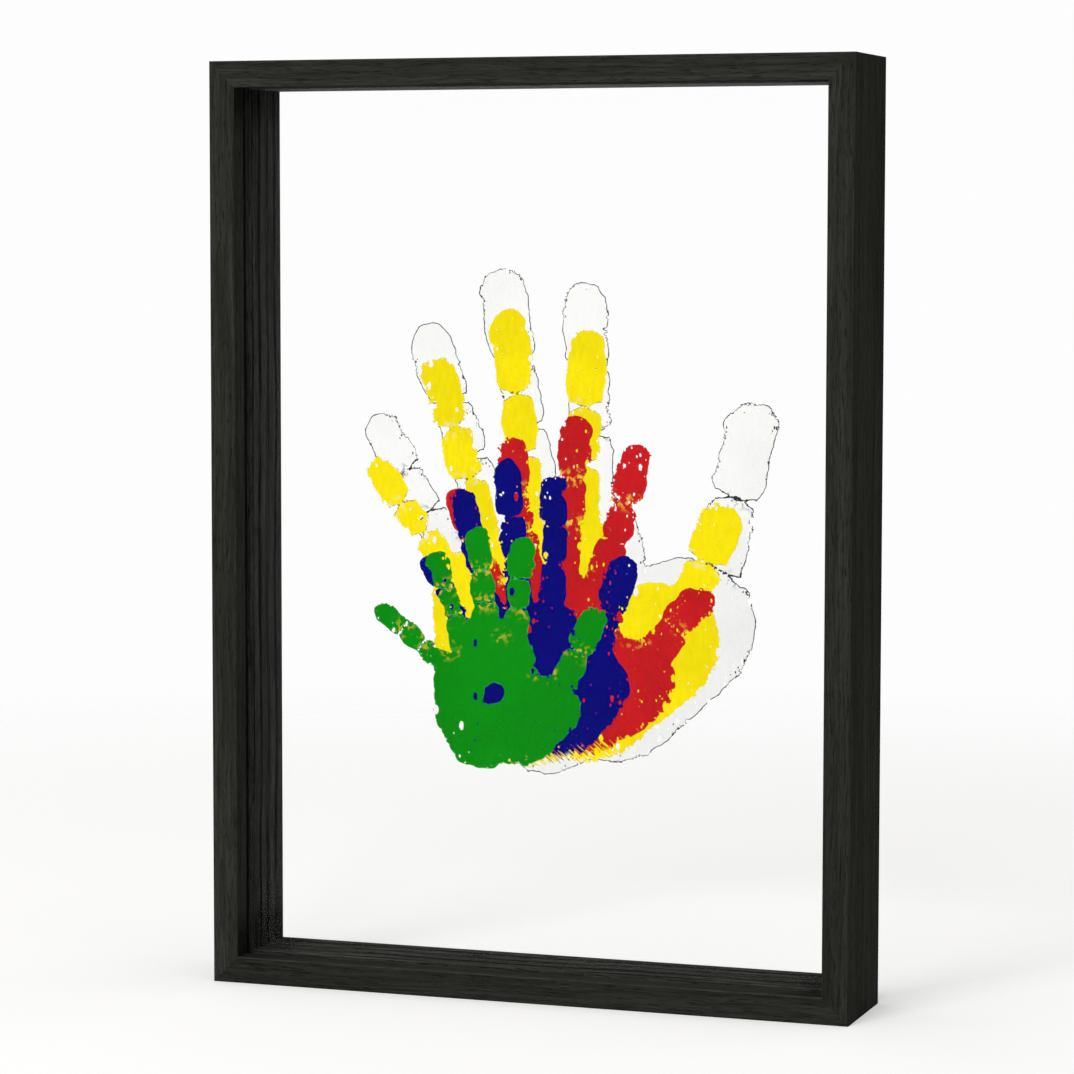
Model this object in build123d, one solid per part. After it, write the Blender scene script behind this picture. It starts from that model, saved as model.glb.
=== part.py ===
from build123d import *
import os
from math import cos, radians, sin

# A see-through box frame for painted handprints, standing on its bottom rail.
# X runs to the right, +Z up and -Y towards the viewer. The origin is on the floor,
# at the middle of the frame's width and of its whole depth. Lengths are in millimetres.

# The four rails: a thin lip in front, and a rebate behind it for the glazing
frame_width = 250.0
frame_height = 350.0
rail_depth = 45.0
rail_face = 10.0
lip_depth = 9.5
rebate_width = 3.0
rail_arris = 0.4

# The glazing: a clear pane, the paint layers, the film that carries them, a clear pane
pane_thickness = 3.0
film_thickness = 0.3
paint_thickness = 0.1
glazing_clearance = 0.3

# The loose strips in the rebate: spacers behind the glazing, then the rear beads
bead_depth = 14.0
strip_clearance = 0.1
strip_arris = 0.4

# The V-nails that hold the mitres, pressed in flush with the rear
nail_leg = 5.0
nail_thickness = 0.5
nail_height = 10.0

# The turn buttons and their screws
button_thickness = 0.8
button_nose_radius = 1.9
button_edge_margin = 0.5
button_play = 0.05
button_pitch = 190.0
screw_radius = 0.8
screw_length = 10.0
screw_clearance = 0.05
head_radius = 1.9
head_height = 1.0
head_top_radius = 1.2
recess_width = 0.5
recess_depth = 0.45

# The length of each painted hand, from its heel to the tip of its middle finger
white_hand = 188.0
yellow_hand = 171.0
red_hand = 128.0
blue_hand = 114.0
green_hand = 92.0

overrun = 1.0

# Worked out from the sizes above
wall = rail_face - rebate_width
opening_width = frame_width - 2 * rail_face
opening_height = frame_height - 2 * rail_face
pivot_inset = wall / 2
button_boss_radius = pivot_inset - button_edge_margin
button_nose_offset = rail_face - pivot_inset - button_edge_margin - button_nose_radius
glazing_width = frame_width - 2 * wall - 2 * glazing_clearance
glazing_height = frame_height - 2 * wall - 2 * glazing_clearance

# Depths behind the front face. The paint lies on the front of the film, the largest hand
# first and the smallest on top of the others.
paint_order = ("green", "blue", "red", "yellow", "white")
paint_front = lip_depth + pane_thickness
film_front = paint_front + len(paint_order) * paint_thickness
rear_pane_front = film_front + film_thickness
spacer_front = rear_pane_front + pane_thickness
bead_front = rail_depth - bead_depth
button_front = rail_depth + button_play
head_front = button_front + button_thickness + button_play
whole_depth = head_front + head_height

# An open left hand, as shares of its length, with the heel at (0, 0) and the thumb at +X.
# Each finger has its root across and along the hand, its length and its width.
finger_shares = {
    "little": (-0.168, 0.450, 0.335, 0.081),
    "ring": (-0.078, 0.505, 0.420, 0.091),
    "middle": (0.030, 0.525, 0.475, 0.095),
    "index": (0.140, 0.505, 0.440, 0.091),
    "thumb": (0.345, 0.290, 0.395, 0.103),
}
finger_headings = {"little": -20, "ring": -9, "middle": 0, "index": 8, "thumb": 24}
# The circles that the palm runs round: the middle of each and its radius
palm_shares = (
    (0.000, 0.250, 0.232), (-0.040, 0.155, 0.155), (-0.148, 0.420, 0.076), (0.132, 0.452, 0.088),
)
thumb_base_shares = ((0.110, 0.178, 0.178), (0.290, 0.245, 0.135))
# How far the index side of the palm is from its middle: the thumb lies past it
index_side_share = 0.222
# Where each finger has its creases, beside its length, and how wide its pads are
crease_shares = {
    "little": (0.33, 0.62), "ring": (0.33, 0.62), "middle": (0.33, 0.62), "index": (0.33, 0.62),
    "thumb": (0.52,),
}
pad_width_shares = (0.97, 0.94, 1.04)
# The hollow of the smallest palm left no paint: it runs round these two circles
hollow_shares = ((0.026, 0.300, 0.036), (0.036, 0.325, 0.036))

# For each hand: its length, and in degrees its lean to the left
hands = {
    "white": (white_hand, 11),
    "yellow": (yellow_hand, 7),
    "red": (red_hand, -5),
    "blue": (blue_hand, 6),
    "green": (green_hand, 6),
}
# Where each heel is across the opening from its middle, and up it from the bottom
heel_shares = {
    "white": (0.070, 0.232),
    "yellow": (0.022, 0.234),
    "red": (0.010, 0.248),
    "blue": (-0.010, 0.236),
    "green": (-0.066, 0.228),
}
# How far the fingers spread, how far the thumb stands off the palm, how plump each finger
# is beside the open hand above, and how deep its creases are beside its radius
pose_shares = {
    "white": (1.00, 1.00, 1.00, 0.70),
    "yellow": (1.15, 1.05, 0.94, 0.70),
    "red": (1.45, 0.55, 1.10, 0.70),
    "blue": (0.95, 0.30, 1.05, 0.74),
    "green": (1.40, 0.60, 1.22, 0.78),
}
# How far the little finger leans out, and how long it and the thumb are, beside that pose
reach_shares = {
    "white": (1.00, 1.00, 1.00),
    "yellow": (1.35, 0.90, 0.68),
    "red": (1.00, 1.00, 0.78),
    "blue": (1.20, 0.85, 1.00),
    "green": (1.70, 1.12, 1.00),
}

# The way from a part that lies along the floor to each side of the frame
sides = {
    "bottom": (frame_width, Location()),
    "top": (frame_width, Pos(0, 0, frame_height) * Rot(0, 180, 0)),
    "left": (frame_height, Pos(-frame_width / 2, 0, frame_height / 2) * Rot(0, 90, 0)),
    "right": (frame_height, Pos(frame_width / 2, 0, frame_height / 2) * Rot(0, -90, 0)),
}


def mitred(profile, length):
    """Draw a section out along X and cut both ends at 45 degrees."""
    far = length / 2 + overrun
    bar = extrude(Plane.YZ.offset(-far) * profile, amount=2 * far)
    low = length / 2 + overrun
    high = length / 2 - rail_face - overrun
    top = rail_face + overrun
    outline = make_face(Polyline(
        (-low, -overrun), (low, -overrun), (high, top), (-high, top), close=True,
    ))
    wedge = extrude(Plane.XZ.offset(overrun) * outline, amount=-rail_depth - 2 * overrun)
    return bar & wedge


def eased(section, size, wanted):
    """Take the sharp edge off those corners of a section that are wanted."""
    return chamfer([corner for corner in section.vertices() if wanted(corner)], size)


def rail(length):
    """A rail along X with its outer face on the floor: front lip, rebate and mitres."""
    section = make_face(Polyline(
        (0, 0), (rail_depth, 0), (rail_depth, wall), (lip_depth, wall),
        (lip_depth, rail_face), (0, rail_face), close=True,
    ))
    section = eased(section, rail_arris, lambda corner: corner.Y != wall)
    return mitred(section, length)


def strip(length, front, back):
    """A strip in the rebate, flush with the lip, with its two showing edges eased."""
    thickness = rebate_width - strip_clearance
    section = Pos(front, wall + strip_clearance) * Rectangle(
        back - front, thickness, align=(Align.MIN, Align.MIN),
    )
    middle = wall + rebate_width / 2
    section = eased(section, strip_arris, lambda corner: corner.Y > middle)
    return mitred(section, length)


def v_nail():
    """The bottom left V-nail: two legs from the mitre line, one into each rail."""
    near = pivot_inset - nail_thickness / 2
    far = pivot_inset + nail_thickness / 2
    tip = pivot_inset + nail_leg
    outline = make_face(Polyline(
        (near, near), (tip, near), (tip, far), (far, far), (far, tip), (near, tip), close=True,
    ))
    return extrude(Plane.XZ.offset(-rail_depth) * outline, amount=nail_height)


def corner_nails():
    """One V-nail in each corner of the frame."""
    low_left = Pos(-frame_width / 2, 0, 0) * v_nail()
    low_right = mirror(low_left, about=Plane.YZ)
    middle = Plane.XY.offset(frame_height / 2)
    return [low_left, low_right, mirror(low_left, about=middle), mirror(low_right, about=middle)]


def button():
    """A stamped turn button at its pivot, pointing up."""
    with BuildPart() as plate:
        with BuildSketch(Plane.XZ.offset(-button_front - button_thickness)):
            Circle(button_boss_radius)
            with Locations((0, button_nose_offset)):
                Circle(button_nose_radius)
            make_hull()
            Circle(screw_radius + screw_clearance, mode=Mode.SUBTRACT)
        extrude(amount=button_thickness)
    return plate.part


def screw():
    """A small screw on the pivot, with a tapered head and a cross recess."""
    root = head_front - screw_length
    with BuildPart() as body:
        with BuildSketch(Plane.XY):
            with BuildLine():
                Polyline(
                    (0, root), (screw_radius, root), (screw_radius, head_front),
                    (head_radius, head_front), (head_top_radius, whole_depth),
                    (0, whole_depth), close=True,
                )
            make_face()
        revolve(axis=Axis.Y)
        with BuildSketch(Plane.XZ.offset(-whole_depth)):
            Rectangle(head_radius, recess_width)
            Rectangle(recess_width, head_radius)
        extrude(amount=recess_depth, mode=Mode.SUBTRACT)
    return body.part


def pivot_places():
    """The places of the six buttons: name, side and distance along that side."""
    half = button_pitch / 2
    return (
        ("left_upper_button", "left", -half),
        ("left_lower_button", "left", half),
        ("right_upper_button", "right", half),
        ("right_lower_button", "right", -half),
        ("top_button", "top", 0),
        ("bottom_button", "bottom", 0),
    )


def at_pivot(shape, side, along):
    """Put a shape made at the pivot on its side of the frame."""
    return sides[side][1] * Pos(along, 0, pivot_inset) * shape


def rounds(middles, radii):
    """The outline that runs round some circles, straight from each to the next."""
    with BuildSketch() as shape:
        for middle, radius in zip(middles, radii):
            with Locations(middle):
                Circle(radius)
        make_hull()
    return shape.sketch


def stand_off(across, open_share):
    """Move what lies past the index side of the palm in or out with the thumb."""
    past = max(across - index_side_share, 0)
    return across - past + past * open_share


def finger(name, colour, length):
    """The pads of one finger, which narrow at each crease."""
    spread_share, open_share, plump_share, depth_share = pose_shares[colour]
    little_lean_share, little_share, thumb_share = reach_shares[colour]
    across, along, reach_share, width_share = finger_shares[name]
    if name == "little":
        spread_share *= little_lean_share
        reach_share *= little_share
    if name == "thumb":
        reach_share *= thumb_share
    heading = radians(finger_headings[name] * spread_share)
    root = Vector(stand_off(across, open_share) * length, along * length)
    way = Vector(sin(heading), cos(heading))
    reach = reach_share * length
    radius = width_share * length * plump_share / 2
    off = radius * depth_share
    creases = [crease_share * reach for crease_share in crease_shares[name]]
    starts = [0] + [crease + off for crease in creases]
    ends = [crease - off for crease in creases] + [reach - radius]
    pads = Sketch()
    for start, end, wide_share in zip(starts, ends, pad_width_shares[-len(starts):]):
        pads += rounds([root + way * start, root + way * end], [radius * wide_share] * 2)
    return pads


def palm(length, open_share, round_shares):
    """The part of the palm that runs round some of its circles."""
    middles = [
        (stand_off(across, open_share) * length, along * length)
        for across, along, round_share in round_shares
    ]
    return rounds(middles, [round_share * length for across, along, round_share in round_shares])


def hand(colour, length):
    """A whole hand with its heel at the origin and its middle finger along +Y."""
    open_share = pose_shares[colour][1]
    print_shape = palm(length, open_share, palm_shares) + palm(length, open_share, thumb_base_shares)
    for name in finger_shares:
        print_shape += finger(name, colour, length)
    return print_shape


def paint_layer(colour):
    """One hand as a layer of paint, in its place in the opening."""
    length, lean = hands[colour]
    across, up = heel_shares[colour]
    back = paint_front + (paint_order.index(colour) + 1) * paint_thickness
    outline = hand(colour, length)
    if colour == paint_order[0]:
        outline -= palm(length, pose_shares[colour][1], hollow_shares)
    place = Pos(across * opening_width, rail_face + up * opening_height) * Rot(0, 0, lean)
    return extrude(Plane.XZ.offset(-back) * (place * outline), amount=paint_thickness)


def sheet(front, thickness):
    """A pane or the film, standing in the rebate behind the lip."""
    outline = Pos(0, frame_height / 2) * Rectangle(glazing_width, glazing_height)
    return extrude(Plane.XZ.offset(-front - thickness) * outline, amount=thickness)


def save(node, shape):
    """Write one part, with the middle of the whole depth over the origin."""
    placed = Pos(0, -whole_depth / 2, 0) * shape
    export_step(placed, f"parts/{node}.step")


os.makedirs("parts", exist_ok=True)

nails = corner_nails()
screws = [at_pivot(screw(), side, along) for name, side, along in pivot_places()]

for side, (length, place) in sides.items():
    save(f"{side}_rail", place * rail(length) - nails - screws)
    save(f"{side}_spacer", place * strip(length, spacer_front, bead_front))
    save(f"{side}_bead", place * strip(length, bead_front, rail_depth))

save("corner_v_nails", Compound(children=nails))
save("button_screws", Compound(children=screws))
for name, side, along in pivot_places():
    save(name, at_pivot(button(), side, along))

save("front_pane", sheet(lip_depth, pane_thickness))
save("print_film", sheet(film_front, film_thickness))
save("rear_pane", sheet(rear_pane_front, pane_thickness))
for colour in paint_order:
    save(f"{colour}_print", paint_layer(colour))
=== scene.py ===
# %% [markdown]
# # A see-through frame with painted handprints
# The frame's construction is already there: rails, panes, strips, screws and buttons, each
# at its real size. This lesson gives it its looks. It stains the wood, makes the panes
# clear, turns five plain layers into printed paint, and finishes the small metal at the rear.
# The construction is loaded first, because every piece made here sits in it or on it.

# %% Load the frame and keep its box
import math
from functools import partial

import bmesh
import bpy
import numpy as np
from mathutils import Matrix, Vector
from mathutils.kdtree import KDTree


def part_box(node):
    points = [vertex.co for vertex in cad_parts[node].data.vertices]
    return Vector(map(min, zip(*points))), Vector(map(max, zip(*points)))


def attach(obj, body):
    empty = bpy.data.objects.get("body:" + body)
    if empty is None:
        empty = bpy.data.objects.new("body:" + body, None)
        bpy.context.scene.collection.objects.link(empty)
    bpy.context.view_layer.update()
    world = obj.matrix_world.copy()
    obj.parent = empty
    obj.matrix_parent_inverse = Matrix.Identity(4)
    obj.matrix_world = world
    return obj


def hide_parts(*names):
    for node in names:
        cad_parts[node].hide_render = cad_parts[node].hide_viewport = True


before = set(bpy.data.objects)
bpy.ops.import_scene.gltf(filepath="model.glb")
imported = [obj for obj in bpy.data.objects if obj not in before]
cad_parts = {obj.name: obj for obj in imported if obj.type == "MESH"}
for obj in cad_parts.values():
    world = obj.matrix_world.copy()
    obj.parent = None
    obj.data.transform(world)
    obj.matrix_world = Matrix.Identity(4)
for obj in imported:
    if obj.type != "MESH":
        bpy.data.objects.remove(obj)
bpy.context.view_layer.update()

mm = 0.001

# %% [markdown]
# Blender's operators work on whatever is selected, and loading leaves everything selected.
# One helper clears that and opens the piece at hand. A second one copies a CAD node, whose
# mesh is loose triangles, and merges them, so that the copy can be bevelled or remeshed.

# %% Open a piece, and copy a node
merge_distance = 0.0005 * mm


def open_piece(piece):
    """Make one piece the only one selected, and open it in edit mode with all of it selected."""
    bpy.ops.object.select_all(action="DESELECT")
    piece.select_set(True)
    bpy.context.view_layer.objects.active = piece
    bpy.ops.object.mode_set(mode="EDIT")
    bpy.ops.mesh.select_all(action="SELECT")


def copy_of(node, name):
    """A merged copy of a CAD node's mesh, as a new piece."""
    piece = bpy.data.objects.new(name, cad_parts[node].data.copy())
    bpy.context.collection.objects.link(piece)
    piece.data.materials.clear()
    open_piece(piece)
    bpy.ops.mesh.remove_doubles(threshold=merge_distance)
    bpy.ops.object.mode_set(mode="OBJECT")
    return piece


def stand_in(piece, body, node):
    """The piece rides on a body and stands for its CAD node, which is hidden."""
    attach(piece, body)
    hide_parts(node)


# %% [markdown]
# The camera stands a little to the right of the front and just above the middle, about
# 1.4 m away with a long lens. So the left wall shows on the inside, the right wall shows on
# the outside, and upright lines stay nearly parallel.

# %% The camera
camera_azimuth = math.radians(19.2)
camera_elevation = math.radians(4.6)
camera_roll = 0.0014
camera_distance = 1406.6 * mm
camera_aim = Vector((-2.0, -0.95, 172.4)) * mm
picture_pixels = 1074
focal_pixels = 3757.9
sensor_width = 36.0

camera = bpy.data.objects.new("camera", bpy.data.cameras.new("camera"))
bpy.context.collection.objects.link(camera)
camera.data.sensor_width = sensor_width
camera.data.lens = focal_pixels / picture_pixels * sensor_width
camera_back = Vector((
    math.sin(camera_azimuth) * math.cos(camera_elevation),
    -math.cos(camera_azimuth) * math.cos(camera_elevation),
    math.sin(camera_elevation),
))
camera.location = camera_aim + camera_back * camera_distance
camera.rotation_euler = (-camera_back).to_track_quat("-Z", "Y").to_euler()
camera.rotation_euler.rotate_axis("Z", camera_roll)
bpy.context.scene.camera = camera
print("camera at", [round(v, 4) for v in camera.location], "lens", round(camera.data.lens, 1))

# %% [markdown]
# A material is a tree of nodes. One helper adds a node and fills its sockets with plain
# values or with other nodes' outputs, so that each finish below reads as a short list. The
# others are the steps that every finish needs: arithmetic, mapping a value, mixing colours.

# %% Helpers for nodes


def add(tree, kind, into=None, **settings):
    """Add a node, set its properties, and fill its sockets with values or other sockets."""
    node = tree.nodes.new(kind)
    for key, value in settings.items():
        setattr(node, key, value)
    for key, value in (into or {}).items():
        if isinstance(value, bpy.types.NodeSocket):
            tree.links.new(value, node.inputs[key])
        else:
            node.inputs[key].default_value = value
    return node


def calc(tree, operation, first, second, third=None):
    """One step of arithmetic on values or sockets."""
    into = {0: first, 1: second}
    if third is not None:
        into[2] = third
    return add(tree, "ShaderNodeMath", into, operation=operation).outputs[0]


def ramp(tree, value, low, high, to_low=0.0, to_high=1.0, smooth=True):
    """Map a value from low..high to other limits, smoothly unless told otherwise."""
    into = {"Value": value, "From Min": low, "From Max": high, "To Min": to_low, "To Max": to_high}
    kind = "SMOOTHSTEP" if smooth else "LINEAR"
    return add(tree, "ShaderNodeMapRange", into, interpolation_type=kind).outputs["Result"]


def blend_of(tree, share, first, second):
    """Mix two colours by a share."""
    node = add(tree, "ShaderNodeMix", {"Factor": share}, data_type="RGBA")
    for key, value in (("A", first), ("B", second)):
        socket = [s for s in node.inputs if s.name == key and s.type == "RGBA"][0]
        if isinstance(value, bpy.types.NodeSocket):
            tree.links.new(value, socket)
        else:
            socket.default_value = value
    return [s for s in node.outputs if s.type == "RGBA"][0]


def grey(level, warm=0.0):
    """A grey with a little more red than blue."""
    return (level * (1 + warm), level, level * (1 - warm), 1.0)


# %% [markdown]
# An effect that several pieces share, such as wood grain, is built once as a node group with
# named sockets, and each material then places the group with values of its own. The shader
# itself stays in the material.

# %% Helpers for groups and materials


def new_group(name, inputs, outputs):
    """An empty node group with named sockets: its tree, its inputs and its output node."""
    tree = bpy.data.node_groups.new(name, "ShaderNodeTree")
    for socket_name, kind, value in inputs:
        socket = tree.interface.new_socket(socket_name, in_out="INPUT", socket_type=kind)
        if value is not None:
            socket.default_value = value
    for socket_name, kind in outputs:
        tree.interface.new_socket(socket_name, in_out="OUTPUT", socket_type=kind)
    return tree, tree.nodes.new("NodeGroupInput").outputs, tree.nodes.new("NodeGroupOutput")


def new_material(name):
    """A material with nothing in it but its Principled shader: material, tree, shader."""
    material = bpy.data.materials.new(name)
    material.use_nodes = True
    tree = material.node_tree
    return material, tree, tree.nodes["Principled BSDF"]


def finish_with(thing, material):
    """Give every face of a piece or a CAD node one material."""
    thing.data.materials.clear()
    thing.data.materials.append(material)


# %% [markdown]
# The wood is a coarse, open-grained board under a black stain. Four patterns make it: long
# fibres, finer fibres between them, short open pores along them, and wide slow bands. All
# read the piece's own coordinates, stretched along the grain, so the grain runs lengthwise
# on each rail, and a slow noise makes them sway, because no board grows quite straight. It
# is a node group, because the rails and the strips share it.

# %% The grain group: its sockets and its patterns
ridge_spacing = 7.4 * mm
sway_reach = 5.0 * mm
sway_scale = 14.0
noise_roughness = 0.55
grain_sockets = [
    ("Along", "NodeSocketVector", None), ("Relief", "NodeSocketFloat", 1.0),
    ("Tone", "NodeSocketFloat", 1.0), ("Contrast", "NodeSocketFloat", 1.0),
    ("Ridges", "NodeSocketFloat", 0.0), ("First Ridge", "NodeSocketFloat", 0.0),
    ("Ridge Spacing", "NodeSocketFloat", ridge_spacing),
]
grain_tree, grain_in, grain_out = new_group("open_grain", grain_sockets, [
    ("Colour", "NodeSocketColor"), ("Roughness", "NodeSocketFloat"), ("Height", "NodeSocketFloat"),
])
grain_add = partial(add, grain_tree)
grain_calc = partial(calc, grain_tree)
grain_ramp = partial(ramp, grain_tree)


def grain_noise(vector, along_mm, across_mm, detail=3.0):
    """Noise whose features are this long along the grain and this wide across it."""
    scale = Vector((1 / (along_mm * mm), 1 / (across_mm * mm), 1 / (across_mm * mm)))
    stretched = grain_add("ShaderNodeVectorMath", {0: vector, 1: scale}, operation="MULTIPLY")
    into = {"Vector": stretched.outputs[0], "Scale": 1.0, "Detail": detail, "Roughness": noise_roughness}
    return grain_add("ShaderNodeTexNoise", into).outputs["Fac"]


sway = grain_add("ShaderNodeTexNoise", {
    "Vector": grain_in["Along"], "Scale": sway_scale, "Detail": 1.0}).outputs["Color"]
sway = grain_add("ShaderNodeVectorMath", {
    0: sway, 1: (0.0, sway_reach, sway_reach)}, operation="MULTIPLY").outputs[0]
swayed = grain_add("ShaderNodeVectorMath", {
    0: grain_in["Along"], 1: sway}, operation="ADD").outputs[0]
fibre = grain_noise(swayed, along_mm=60.0, across_mm=1.1)
fine_fibre = grain_noise(swayed, along_mm=22.0, across_mm=0.35, detail=2.0)
bands = grain_noise(swayed, along_mm=180.0, across_mm=6.0, detail=2.0)
pores = grain_ramp(grain_noise(swayed, along_mm=6.0, across_mm=0.42, detail=1.0), 0.58, 0.66)
furrow = grain_ramp(fibre, 0.36, 0.52)
print("grain patterns:", len(grain_tree.nodes), "nodes")

# %% [markdown]
# On the strips, which are rougher stock, the growth rings stand out as well, as dark grooves
# at an even distance through the depth of the frame. A ping-pong turns the depth into the
# distance to the nearest groove, and another slow noise lets each groove fade and come back.

# %% The grain group: its growth ridges
ring_depth = grain_add("ShaderNodeSeparateXYZ", {0: swayed}).outputs["Y"]
ring_depth = grain_calc("SUBTRACT", ring_depth, sway_reach / 2)
from_first = grain_calc("SUBTRACT", ring_depth, grain_in["First Ridge"])
rings = grain_calc("DIVIDE", from_first, grain_in["Ridge Spacing"])
ring_wall = grain_calc("MULTIPLY", grain_calc("PINGPONG", rings, 0.5), 2.0)
groove = grain_calc("MULTIPLY", grain_ramp(ring_wall, 0.08, 0.50, 1.0, 0.0), grain_in["Ridges"])
groove_noise = grain_noise(swayed, along_mm=40.0, across_mm=4.0)
groove = grain_calc("MULTIPLY", groove, grain_ramp(groove_noise, 0.35, 0.55, 0.4, 1.0))
print("grain with ridges:", len(grain_tree.nodes), "nodes")

# %% [markdown]
# Each pattern makes the stain lighter or darker by a factor, and the factors are multiplied,
# as in real wood, where a pore in a dark band is darkest. All but the bands give the relief
# too, so that a dark pore is also a hollow.

# %% The grain group: its tone and its relief
dark_stain = (0.0285, 0.0282, 0.0241, 1)
light_stain = (0.0300, 0.0298, 0.0261, 1)
least_shade = 0.2
fibre_height, fine_height, pore_depth, groove_depth = 0.6, 0.35, 0.5, 2.0
shade = grain_ramp(fibre, 0.3, 0.7, 0.74, 1.20)
shade = grain_calc("MULTIPLY", shade, grain_ramp(fine_fibre, 0.3, 0.7, 0.78, 1.22))
shade = grain_calc("MULTIPLY", shade, grain_ramp(bands, 0.3, 0.7, 0.85, 1.15))
shade = grain_calc("MULTIPLY", shade, grain_ramp(pores, 0.0, 1.0, 1.0, 0.5))
shade = grain_calc("MULTIPLY_ADD", grain_calc("SUBTRACT", shade, 1.0), grain_in["Contrast"], 1.0)
shade = grain_calc("MAXIMUM", shade, least_shade)
shade = grain_calc("MULTIPLY", shade, grain_ramp(groove, 0.0, 1.0, 1.2, 0.08))
shade = grain_calc("MULTIPLY", shade, grain_in["Tone"])
stain = blend_of(grain_tree, grain_ramp(bands, 0.4, 0.6), dark_stain, light_stain)
stain = grain_add("ShaderNodeVectorMath", {0: stain, "Scale": shade}, operation="SCALE").outputs[0]
height = grain_calc("MULTIPLY", fine_fibre, fine_height)
height = grain_calc("MULTIPLY_ADD", furrow, fibre_height, height)
height = grain_calc("SUBTRACT", height, grain_calc("MULTIPLY", pores, pore_depth))
height = grain_calc("SUBTRACT", height, grain_calc("MULTIPLY", groove, groove_depth))
height = grain_calc("MULTIPLY", height, grain_in["Relief"])
grain_roughness = grain_ramp(fine_fibre, 0.3, 0.7, 0.66, 0.82)
grain_tree.links.new(stain, grain_out.inputs["Colour"])
grain_tree.links.new(grain_roughness, grain_out.inputs["Roughness"])
grain_tree.links.new(height, grain_out.inputs["Height"])
print("whole grain group:", len(grain_tree.nodes), "nodes")

# %% [markdown]
# The arrises of a stained frame wear first, because the stain rubs thin there, so they are
# made lighter, as wear and as a painted highlight. A Bevel node looks at the faces around a
# point: where its smoothed normal differs from the true one, the point is near an edge. An
# arris that faces forwards and upwards, where light falls from above, is lightened all along
# as a painted highlight: its normal is the one that leans both forwards and upwards.

# %% The worn and lit edge group
edge_radius = 0.25 * mm
patch_scale = 90.0
edge_share = 0.4
edge_tree, edge_in, edge_out = new_group(
    "worn_and_lit_edge", [("Radius", "NodeSocketFloat", edge_radius)],
    [("Mask", "NodeSocketFloat"), ("Normal", "NodeSocketVector")],
)
edge_add = partial(add, edge_tree)
edge_calc = partial(calc, edge_tree)
edge_ramp = partial(ramp, edge_tree)
rounded = edge_add("ShaderNodeBevel", {"Radius": edge_in["Radius"]}, samples=6).outputs[0]
true_normal = edge_add("ShaderNodeNewGeometry").outputs["True Normal"]
alike = edge_add("ShaderNodeVectorMath", {
    0: rounded, 1: true_normal}, operation="DOT_PRODUCT").outputs["Value"]
near_edge = edge_calc("MULTIPLY", edge_ramp(alike, 0.995, 0.90), edge_share)
leaning = edge_add("ShaderNodeSeparateXYZ", {0: true_normal}).outputs
highlight_lean = edge_calc("MULTIPLY", edge_calc("MULTIPLY", leaning["Y"], -1.0), leaning["Z"])
# Painted highlight on the arrises that face forwards and upwards, joined with the wear near every edge.
rubbed_and_lit = edge_calc("MAXIMUM", near_edge, edge_ramp(highlight_lean, 0.3, 0.45))
where = edge_add("ShaderNodeTexCoord").outputs["Object"]
patchy = edge_add("ShaderNodeTexNoise", {
    "Vector": where, "Scale": patch_scale, "Detail": 3.0}).outputs["Fac"]
wear_and_highlight_mask = edge_calc("MULTIPLY", rubbed_and_lit, edge_ramp(patchy, 0.35, 0.65, 0.4, 1.0))
edge_tree.links.new(wear_and_highlight_mask, edge_out.inputs["Mask"])
edge_tree.links.new(rounded, edge_out.inputs["Normal"])
print("worn edge group:", len(edge_tree.nodes), "nodes")

# %% [markdown]
# The stain has run dark into the joints: into the corner behind the lip and where strips
# meet. The inner corners of the frame are darkened with painted shade. Both follow the
# construction, so their places are read from it: the depth of each joint, the faces of the
# opening, the wall of the slot that holds the panes, and the middle and half length of each side.

# %% Where the joints and the inner walls are
lip_joint = (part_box("front_pane")[0].y,)
strip_joints = [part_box(node)[0].y for node in ("left_spacer", "left_bead")]
spacer_boxes = {side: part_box(f"{side}_spacer") for side in ("left", "right", "top", "bottom")}
opening_half = spacer_boxes["right"][0].x
opening_low, opening_high = spacer_boxes["bottom"][1].z, spacer_boxes["top"][0].z
upright = ((opening_low + opening_high) / 2, (opening_high - opening_low) / 2)
inner_wall = {
    "left": (-opening_half, spacer_boxes["left"][0].x, *upright),
    "right": (opening_half, spacer_boxes["right"][1].x, *upright),
    "top": (opening_high, spacer_boxes["top"][1].z, 0.0, opening_half),
    "bottom": (opening_low, spacer_boxes["bottom"][0].z, 0.0, opening_half),
}
print("opening in mm:", round(2 * opening_half / mm, 1), "x", round(2 * upright[1] / mm, 1))

# %% Darken a colour near a line
joint_reach = 1.1 * mm
# How far and how strongly the inner corners are darkened as painted shade.
painted_shade_reach = 20.0 * mm
painted_shade_share = 0.6
core_share = 0.3
# The near-black of the dark joints, and of the painted shade in the inner corners.
stain_and_shade_colour = grey(0.002)


def apart(tree, one, other):
    """How far apart two places are on one axis."""
    return calc(tree, "ABSOLUTE", calc(tree, "SUBTRACT", one, other), 0.0)


def darkened(tree, colour, distance, reach, share, mask):
    """Darken a colour by a share where a distance is small, on the faces that the mask names."""
    near = ramp(tree, distance, core_share * reach, reach, share, 0.0)
    return blend_of(tree, calc(tree, "MULTIPLY", near, mask), colour, stain_and_shade_colour)


# %% [markdown]
# Each side of the frame gets a material of its own for its rail and one for its strips. Their
# tones are partly the wood's own and partly painted shade, which makes the right and the bottom
# rail darker. The grain group wants the grain along X, so an upright board swaps X and Z before
# it goes in. A stretch of one half makes the grain twice as coarse through the depth. The joints
# darken the faces of the opening and, behind the panes, the front of the strips along the wall
# of their slot. The ridges leave out the faces that look to the front or the rear: the depth is
# the same all over such a face, so that one groove would fill it. Fine dust lies on what faces up.

# %% The stained wood
# The lighter colour of the arrises: wear, and a painted highlight where they face up and forwards.
wear_and_highlight_colour = grey(0.10, 0.03)
dust_colour = (0.31, 0.30, 0.26, 1)
dust_share = 0.032
dust_from, dust_full = 0.8, 0.95
bump_distance = 0.22 * mm


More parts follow.
